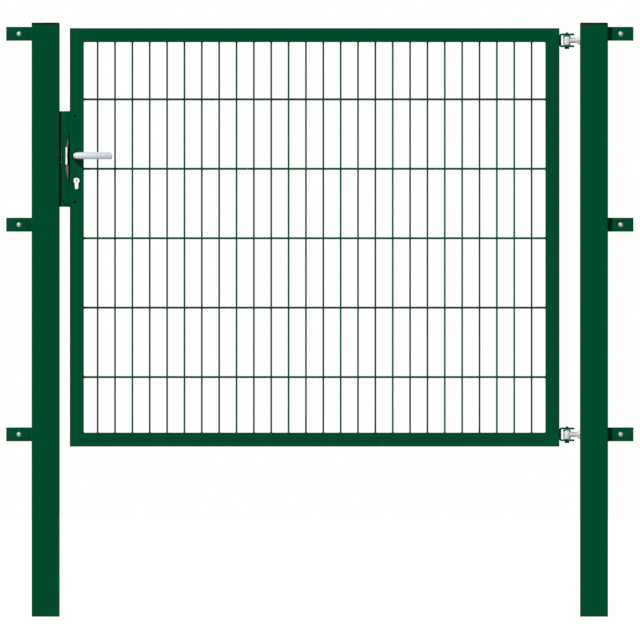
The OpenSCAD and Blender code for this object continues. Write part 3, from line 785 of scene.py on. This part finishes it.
leaf_beads = merged([
    (bead(leaf_seams, FILLET_BEAD), Matrix()),
    (bead(flush_seams, FLUSH_BEAD, FLUSH_RIPPLE), Matrix()),
    (bead(end_seams, END_BEAD), Matrix()),
])
piece("leaf_weld_beads", leaf_beads, coat, "leaf")

# %% [markdown]
# ## Turned shapes and hexagons
#
# Bolts, nuts and hinge eyes are turned or forged. A turned shape is a profile of (radius, height)
# points swept round the Z axis. A hexagon is a turned shape too, once its radius follows the six
# flats: both faces are chamfered by a cone, which leaves the curved scallop that every nut has.


# %% Swept profiles
def turned(profile, around):
    """A closed shape swept round Z in that many steps. A row of the profile is (radius, height),
    and either may be a function of the angle. A profile that ends in its first row is a ring."""
    shape = bmesh.new()
    rings = []
    for radius, height in profile:
        ring = []
        for step in range(around):
            angle = math.tau * step / around
            r = radius(angle) if callable(radius) else radius
            z = height(angle) if callable(height) else height
            ring.append(shape.verts.new((r * math.cos(angle), r * math.sin(angle), z)))
        rings.append(ring)
    for low, high in zip(rings, rings[1:]):
        for step in range(around):
            after = (step + 1) % around
            shape.faces.new((low[step], low[after], high[after], high[step]))
    if profile[0] is not profile[-1]:
        shape.faces.new(tuple(reversed(rings[0])))
        shape.faces.new(tuple(rings[-1]))
    else:
        bmesh.ops.remove_doubles(shape, verts=rings[0] + rings[-1], dist=SAME_POINT / 10)
    mesh = bpy.data.meshes.new("turned")
    shape.to_mesh(mesh)
    shape.free()
    return mesh


print("ready to turn profiles")

# %% Hexagons in standard sizes
M8 = (8 * MM, 1.25 * MM)
M16 = (16 * MM, 2 * MM)
ACROSS_M8 = 13 * MM
ACROSS_M16 = 24 * MM
BORE_CHAMFER = 0.5 * MM
FACE_CHAMFER = math.radians(30.0)
FACE_SHARE = 0.96


def hexagon(across, height, bore=0.0):
    """A chamfered hexagon on the XY plane. With a bore it is a nut, without one a bolt's head."""
    flat = across / 2
    chamfer_start = flat * FACE_SHARE
    slope = math.tan(FACE_CHAMFER)

    def side(angle):
        return flat / math.cos((angle + math.pi / 6) % (math.pi / 3) - math.pi / 6)

    def top(angle):
        return height - (side(angle) - chamfer_start) * slope

    def bottom(angle):
        return (side(angle) - chamfer_start) * slope

    if bore:
        inner = bore / 2
        wide = inner + BORE_CHAMFER
        start = (inner, BORE_CHAMFER)
        rows = [
            start, (wide, 0.0), (chamfer_start, 0.0), (side, bottom), (side, top),
            (chamfer_start, height), (wide, height), (inner, height - BORE_CHAMFER), start,
        ]
    else:
        rows = [(chamfer_start, 0.0), (side, bottom), (side, top), (chamfer_start, height)]
    return turned(rows, around=60)


print("an M8 nut has", len(hexagon(ACROSS_M8, ACROSS_M8 / 2, M8[0]).polygons), "faces")

# %% [markdown]
# ## Threads
#
# A thread is a ridge that climbs by one pitch a turn. On a rod along Z, the height of a point and
# its angle round the axis together say where on the ridge it lies, so a tree can press the thread
# into a finely ringed cylinder: height over pitch, less the share of a turn, gives the phase. A
# whole number of turns is added first, which keeps the sum above zero. The ends are turned down a
# little, so that a nut can start.

# %% The tree for a threaded rod
WHOLE_TURNS = 50.0
END_CHAMFER = 0.7
RINGS_A_TURN = 8
DEPTH_PER_PITCH = 0.54
thread_tree = Grower("threaded_rod", {
    "Length": "number", "Radius": "number", "Pitch": "number", "Depth": "number",
    "Rings": "count", "Metal": "material",
})
given = thread_tree.start
rod_blank = thread_tree.node("GeometryNodeMeshCylinder", {
    "Vertices": 24, "Side Segments": given["Rings"], "Radius": given["Radius"],
    "Depth": given["Length"],
})
position = thread_tree.node("GeometryNodeInputPosition")
split = thread_tree.node("ShaderNodeSeparateXYZ", {0: position})
turn_share = thread_tree.maths("ARCTAN2", split["Y"], split["X"]) / math.tau
phase = thread_tree.maths("FRACT", split["Z"] / given["Pitch"] - turn_share + WHOLE_TURNS)
valley = thread_tree.maths("ABSOLUTE", phase * 2.0 - 1.0)
thread_radius = given["Radius"] - given["Depth"] * (1.0 - valley)
to_end = given["Length"] * 0.5 - thread_tree.maths("ABSOLUTE", split["Z"])
chamfer = given["Pitch"] * END_CHAMFER - to_end
end_radius = given["Radius"] - thread_tree.maths("MAXIMUM", chamfer, 0.0)
narrow = thread_tree.maths("MINIMUM", thread_radius, end_radius) / given["Radius"]
pressed = thread_tree.node("GeometryNodeSetPosition", {
    "Geometry": rod_blank,
    "Position": thread_tree.xyz(split["X"] * narrow, split["Y"] * narrow, split["Z"]),
})
thread_tree.finish(pressed, given["Metal"])


def threaded_rod(diameter, pitch, length, finish):
    """A threaded rod from z = 0 to z = length."""
    mesh = thread_tree.grow({
        "Length": length, "Radius": diameter / 2, "Pitch": pitch, "Depth": pitch * DEPTH_PER_PITCH,
        "Rings": max(RINGS_A_TURN, round(length / pitch * RINGS_A_TURN)),
        "Metal": finish.material,
    })
    mesh.transform(Matrix.Translation((0, 0, length / 2)))
    return mesh


print("threaded rod:", len(thread_tree.tree.nodes), "nodes")

# %% [markdown]
# ## Lug bolts and nuts
#
# Three cup-head bolts go through the lugs of each post, with a nut behind each lug. They are alike,
# so each is made once and a tree sets it out at the three heights.

# %% The tree that sets out copies
copies_tree = Grower("copies_at_points", {
    "Points": "geometry", "Shape": "object", "Turn": "vector", "Metal": "material",
})
given = copies_tree.start
shape_info = copies_tree.node("GeometryNodeObjectInfo", {"Object": given["Shape"]})
spots = copies_tree.node("GeometryNodeMeshToPoints", {"Mesh": given["Points"]})
set_out = copies_tree.node("GeometryNodeInstanceOnPoints", {
    "Points": spots, "Instance": shape_info["Geometry"], "Rotation": given["Turn"],
})
copies_tree.finish(set_out, given["Metal"])


def set_out_copies(shape, points, turn, finish):
    """The shape at each point, as one mesh."""
    pattern = add_object("pattern", shape)
    mesh = bpy.data.meshes.new("points")
    mesh.from_pydata(points, [], [])
    values = {"Shape": pattern, "Turn": turn, "Metal": finish.material}
    result = copies_tree.grow(values, mesh)
    bpy.data.objects.remove(pattern)
    return result


print("setting out:", len(copies_tree.tree.nodes), "nodes")

# %% [markdown]
# The bolt's head is a shallow dome with a small rim. Its thread runs from under the head through
# the lug and the nut, and stands out at the back for the fence panel. What is made here points up,
# so each copy takes a quarter turn, forwards for the bolts and backwards for the nuts.

# %% Bolts through the lugs
RIM = 0.4 * MM
DOME_STEPS = 9
DOME_TIP = 0.2 * MM
head_low, head_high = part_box("hinge_post_lug_bolts")
nut_low, nut_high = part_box("hinge_post_lug_nuts")
lug_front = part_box("hinge_post_lug_low")[0].y
head_radius = (head_high.x - head_low.x) / 2
head_height = lug_front - head_low.y
dome_radius = (head_radius**2 + head_height**2) / (2 * head_height)
dome = [(head_radius - RIM, 0.0), (head_radius, RIM)]
for step in range(1, DOME_STEPS):
    angle = math.asin(head_radius / dome_radius) * (1 - step / DOME_STEPS)
    dome.append((dome_radius * math.sin(angle), head_height + dome_radius * (math.cos(angle) - 1)))
dome.append((DOME_TIP, head_height))
stud = threaded_rod(*M8, head_high.y - lug_front, galvanised)
bolt = merged([(turned(dome, around=40), Matrix()), (stud, Matrix.Rotation(HALF_TURN, 4, "X"))])
nut = hexagon(ACROSS_M8, nut_high.y - nut_low.y, M8[0])
for side in POST_SIDES:
    box_low, box_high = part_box(f"{side}_post_lug_bolts")
    x = (box_low.x + box_high.x) / 2
    heights = []
    for level in LUG_LEVELS:
        low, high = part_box(f"{side}_post_lug_{level}")
        heights.append((low.z + high.z) / 2)
    front = [(x, lug_front, z) for z in heights]
    back = [(x, nut_low.y, z) for z in heights]
    bolts = set_out_copies(bolt, front, (QUARTER_TURN, 0.0, 0.0), galvanised)
    nuts = set_out_copies(nut, back, (-QUARTER_TURN, 0.0, 0.0), galvanised)
    node = f"{side}_post_lug"
    piece(f"{side}_lug_cup_bolts", bolts, galvanised, "posts", [f"{node}_bolts"])
    piece(f"{side}_lug_hex_nuts", nuts, galvanised, "posts", [f"{node}_nuts"])

# %% [markdown]
# ## Hinges
#
# Each hinge is an eye bolt: a barrel on a coarse-threaded shaft that screws into the post, so the
# gate can be set. A lock nut holds it against the post. The leaf's bracket takes the eye between
# its arms on a black hexagon bolt, whose head is below and whose threaded end stands out on top.
# Half of the barrel's outline, mirrored, gives the whole.

# %% Eye bolts, lock nuts and hinge pins
EYE_HOLE = 4.06 * MM
HOLE_EDGE = 0.4 * MM
ROUND_OVER = 1.2 * MM
ROUND_MIDDLE = 0.35 * MM
SHAFT_IN_EYE = 1.5 * MM
PIN_RADIUS = 4 * MM
SHANK_INSET = 1 * MM
lie_along_x = Matrix.Rotation(QUARTER_TURN, 4, "Y")
for level in HINGE_LEVELS:
    low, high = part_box(f"{level}_eye_bolt")
    pin_low, pin_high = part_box(f"{level}_hinge_pin")
    nut_low, nut_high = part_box(f"{level}_eye_nut")
    bracket_low, bracket_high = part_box(f"{level}_hinge_bracket")
    eye_radius = (high.y - low.y) / 2
    axis = Vector((low.x + eye_radius, (low.y + high.y) / 2, 0.0))
    middle = (low.z + high.z) / 2
    half = [
        (EYE_HOLE, HOLE_EDGE), (EYE_HOLE + HOLE_EDGE, 0.0), (eye_radius - ROUND_OVER, 0.0),
        (eye_radius - ROUND_MIDDLE, ROUND_MIDDLE), (eye_radius, ROUND_OVER),
    ]
    lower = [(radius, low.z + inset) for radius, inset in half]
    upper = [(radius, high.z - inset) for radius, inset in reversed(half)]
    eye = turned([*lower, *upper, lower[0]], around=48)
    shaft_start = eye_radius - SHAFT_IN_EYE
    shaft = threaded_rod(*M16, high.x - axis.x - shaft_start, zinc)
    shaft_place = Matrix.Translation((axis.x + shaft_start, axis.y, middle)) @ lie_along_x
    eye_bolt = merged([(eye, Matrix.Translation(axis)), (shaft, shaft_place)])
    piece(f"{level}_eye_and_shaft", eye_bolt, zinc, "posts", [f"{level}_eye_bolt"])

    lock_nut = hexagon(ACROSS_M16, nut_high.x - nut_low.x, M16[0])
    lock_nut.transform(Matrix.Translation((nut_low.x, axis.y, middle)) @ lie_along_x)
    piece(f"{level}_lock_nut", lock_nut, zinc, "posts", [f"{level}_eye_nut"])

    head = hexagon(ACROSS_M8, bracket_low.z - pin_low.z)
    shank_top = bracket_high.z - SHANK_INSET
    shank_ends = [(PIN_RADIUS, pin_low.z + SHANK_INSET), (PIN_RADIUS, shank_top)]
    pin_thread = threaded_rod(*M8, pin_high.z - shank_top, black_steel)
    hinge_pin = merged([
        (head, Matrix.Translation((axis.x, axis.y, pin_low.z))),
        (turned(shank_ends, around=32), Matrix.Translation(axis)),
        (pin_thread, Matrix.Translation((axis.x, axis.y, shank_top))),
    ])
    stands_for = [f"{level}_hinge_pin"]
    piece(f"{level}_hex_pin", hinge_pin, black_steel, "leaf", stands_for)

# %% [markdown]
# ## Levers
#
# The levers are cast: a round grip starts in a ball, bends back towards the gate and is cut off
# square to it. A slimmer neck carries the grip and flares into it. The grip is turned straight, in
# short steps and a little too long, each of its points is carried round the bend, and a plane then
# cuts it to length. Two shapes that only meet show a hard line, which no casting has, so grip and
# neck go through a voxel Remesh into one skin and are smoothed, which leaves a small even fillet.


# %% The cast lever
GRIP_BEND = math.radians(24.0)
SPARE_BEND = math.radians(1.0)
BALL_STEPS = 12
GRIP_STEPS = 30
NECK_EDGE = 0.4 * MM
# How much wider the neck is near the grip, at heights from the grip's underside
NECK_FLARE = ((0, -5 * MM), (0.6 * MM, -2.5 * MM), (2.4 * MM, 1 * MM), (2.4 * MM, 4 * MM))
VOXEL = 0.9 * MM


def bend_back(mesh, start, out, bend_radius):
    """Bends back, towards +Y, what lies beyond x = start. The bend's middle line is at y = -out."""
    centre = bend_radius - out
    for vertex in mesh.vertices:
        if vertex.co.x > start:
            angle = (vertex.co.x - start) / bend_radius
            arm = centre - vertex.co.y
            vertex.co.x = start + arm * math.sin(angle)
            vertex.co.y = centre - arm * math.cos(angle)


def cut_off(mesh, reach):
    """Cuts away what lies beyond x = reach and closes the end with one flat face."""
    shape = bmesh.new()
    shape.from_mesh(mesh)
    everything = [*shape.verts, *shape.edges, *shape.faces]
    bmesh.ops.bisect_plane(
        shape, geom=everything, plane_co=(reach, 0, 0), plane_no=(1, 0, 0), clear_outer=True
    )
    bmesh.ops.holes_fill(shape, edges=shape.edges, sides=0)
    shape.to_mesh(mesh)
    shape.free()


def cast_lever(reach, out, grip, neck, ball):
    """A lever on the plane y = 0 that stands out to -Y, with its axis at the origin."""
    radius = grip / 2
    bend_radius = (reach - ball) / math.sin(GRIP_BEND) - radius
    past_cut = math.asin((reach - ball) / (bend_radius - radius)) + SPARE_BEND
    ball_angles = [step * math.pi / (2 * BALL_STEPS) for step in range(1, BALL_STEPS + 1)]
    rows = [(radius * math.sin(angle), -radius * math.cos(angle)) for angle in ball_angles]
    for step in range(1, GRIP_STEPS + 1):
        rows.append((radius, bend_radius * past_cut * step / GRIP_STEPS))
    grip_shape = turned(rows, around=48)
    grip_shape.transform(Matrix.Translation((ball, -out, 0.0)) @ lie_along_x)
    bend_back(grip_shape, ball, out, bend_radius)
    cut_off(grip_shape, reach)
    neck_radius = neck / 2
    neck_shape = turned([
        (neck_radius - NECK_EDGE, NECK_EDGE), (neck_radius, NECK_EDGE * 2),
        *((neck_radius + wider, out - radius + height) for wider, height in NECK_FLARE),
    ], around=48)
    outwards = Matrix.Rotation(QUARTER_TURN, 4, "X")
    joined = merged([(grip_shape, Matrix()), (neck_shape, outwards)])
    skin = with_modifier(joined, "REMESH", mode="VOXEL", voxel_size=VOXEL)
    return with_modifier(skin, "SMOOTH", factor=0.5, iterations=10)


print("bend of the grip:", round(math.degrees(GRIP_BEND)), "degrees")

# %% [markdown]
# Both levers are sized by the boxes of the solids that they replace. The back one is mirrored, and
# its faces are turned outwards again.

# %% Front and back lever
NECK = 13 * MM
CAST_CRISP_ANGLE = math.radians(60.0)
spindle_low, spindle_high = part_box("spindle")
lock_x = (spindle_low.x + spindle_high.x) / 2
for name, at_front in (("front_lever", True), ("back_lever", False)):
    low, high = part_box(name)
    grip = high.z - low.z
    lever_z = (low.z + high.z) / 2
    face = stile_low.y if at_front else stile_high.y
    reach = high.x - lock_x
    out = (face - low.y if at_front else high.y - face) - grip / 2
    lever = cast_lever(reach, out, grip, NECK, low.x + grip / 2 - lock_x)
    if not at_front:
        lever.transform(Matrix.Scale(-1.0, 4, (0.0, 1.0, 0.0)))
        lever.flip_normals()
    lever.transform(Matrix.Translation((lock_x, face, lever_z)))
    piece(
        f"cast_{name}", lever, aluminium, "lever_set", [name], CAST_CRISP_ANGLE
    )

# %% [markdown]
# ## Floor, light and camera
#
# The gate stands on a plain pale floor. For rays from the camera, and for reflections, the world is
# white, so the background is white without any extra light on the gate. What lights the gate is a
# broad sun from the upper left, a weaker one behind it for the back, and an even fill.

# %% Floor
FLOOR_REACH = 30.0
FLOOR_Z = -0.5 * MM
FLOOR_GREY = (0.4, 0.4, 0.4, 1.0)
FLOOR_GLOW = 0.8
WHITE = (1.0, 1.0, 1.0, 1.0)
floor_mesh = bpy.data.meshes.new("floor")
square = ((-1, -1), (1, -1), (1, 1), (-1, 1))
corners = [(x * FLOOR_REACH, y * FLOOR_REACH, FLOOR_Z) for x, y in square]
floor_mesh.from_pydata(corners, [], [(0, 1, 2, 3)])
floor = add_object("floor", floor_mesh)
floor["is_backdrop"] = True


def seen_directly(graph):
    """1 for rays from the camera and for reflections, 0 for light that bounces about."""
    rays = graph.node("ShaderNodeLightPath")
    seen = rays["Is Camera Ray"] + rays["Is Glossy Ray"] + rays["Is Transmission Ray"]
    return graph.maths("MINIMUM", seen, 1.0)


floor_material = bpy.data.materials.new("pale_floor")
floor_material.use_nodes = True
paper = Graph(floor_material.node_tree)
paper.tree.nodes.clear()
matt = paper.node("ShaderNodeBsdfDiffuse", {"Color": FLOOR_GREY})
glow = paper.node("ShaderNodeEmission", {
    "Color": WHITE, "Strength": seen_directly(paper) * FLOOR_GLOW,
})
veil = paper.node("ShaderNodeAddShader", {0: matt, 1: glow})
paper.node("ShaderNodeOutputMaterial", {"Surface": veil})
floor_mesh.materials.append(floor_material)
print("floor reaches", FLOOR_REACH, "m each way")

# %% [markdown]
# The same test serves the world, which is full white when it is seen and a dim even fill otherwise.

# %% World
FILL = 0.16
world = bpy.data.worlds.new("white_room")
world.use_nodes = True
bpy.context.scene.world = world
room = Graph(world.node_tree)
room.tree.nodes.clear()
brightness = room.maths("MAXIMUM", seen_directly(room), FILL)
backdrop = room.node("ShaderNodeBackground", {"Color": WHITE, "Strength": brightness})
room.node("ShaderNodeOutputWorld", {"Surface": backdrop})
print("fill:", FILL)

# %% [markdown]
# A sun's strength is the light that falls on a surface square to it, and at a strength of pi such a
# surface shows its colour as it is written. The key light comes from the upper left and meets the
# front faces at 48 degrees, where it gives two thirds of that.


# %% Suns
def sun(name, travels, strength, width):
    """A sun whose light travels along that direction, as wide in the sky as width degrees."""
    light = bpy.data.lights.new(name, "SUN")
    light.energy = strength
    light.angle = math.radians(width)
    lamp = add_object(name, light)
    lamp.rotation_euler = Vector(travels).to_track_quat("-Z", "Y").to_euler()
    print(f"{name} sun: strength {strength}, {width} degrees wide")


sun("key", (0.7, 1.0, -0.85), strength=3.1, width=6.0)
sun("back", (-0.5, -1.0, -0.6), strength=1.8, width=12.0)

# %% [markdown]
# The camera looks squarely at the gate's front from far off through a long lens, so the posts stay
# parallel. The view is a little wider than the gate, which fills it from side to side, and its
# middle is a millimetre or so off the gate's own.

# %% Camera
LENS = 1200.0
SENSOR = 36.0
MARGIN = 1.02
AIM_RIGHT = 0.5 * MM
AIM_UP = -1.1 * MM
low, high = (Vector(corner) for corner in cad_box)
distance = (high.x - low.x) * MARGIN * LENS / SENSOR
aim_x = (low.x + high.x) / 2 + AIM_RIGHT
aim_z = (low.z + high.z) / 2 + AIM_UP
camera = add_object("camera", bpy.data.cameras.new("camera"))
camera.data.lens = LENS
camera.data.sensor_width = SENSOR
camera.data.clip_end = distance * 3.0
camera.location = (aim_x, stile_low.y - distance, aim_z)
camera.rotation_euler = (QUARTER_TURN, 0.0, 0.0)
bpy.context.scene.camera = camera
bpy.context.scene.view_settings.view_transform = "Standard"
print("camera is", round(distance, 2), "m away")

# %% [markdown]
#
# The dressed gate keeps the size of the solids. Both boxes are printed.

# %% Print both boxes
dressed_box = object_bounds()
sizes = {
    "cad": [list(corner) for corner in cad_box],
    "visual": [list(corner) for corner in dressed_box],
}
for name, box in sizes.items():
    print(name, [[round(v / MM, 2) for v in corner] for corner in box])
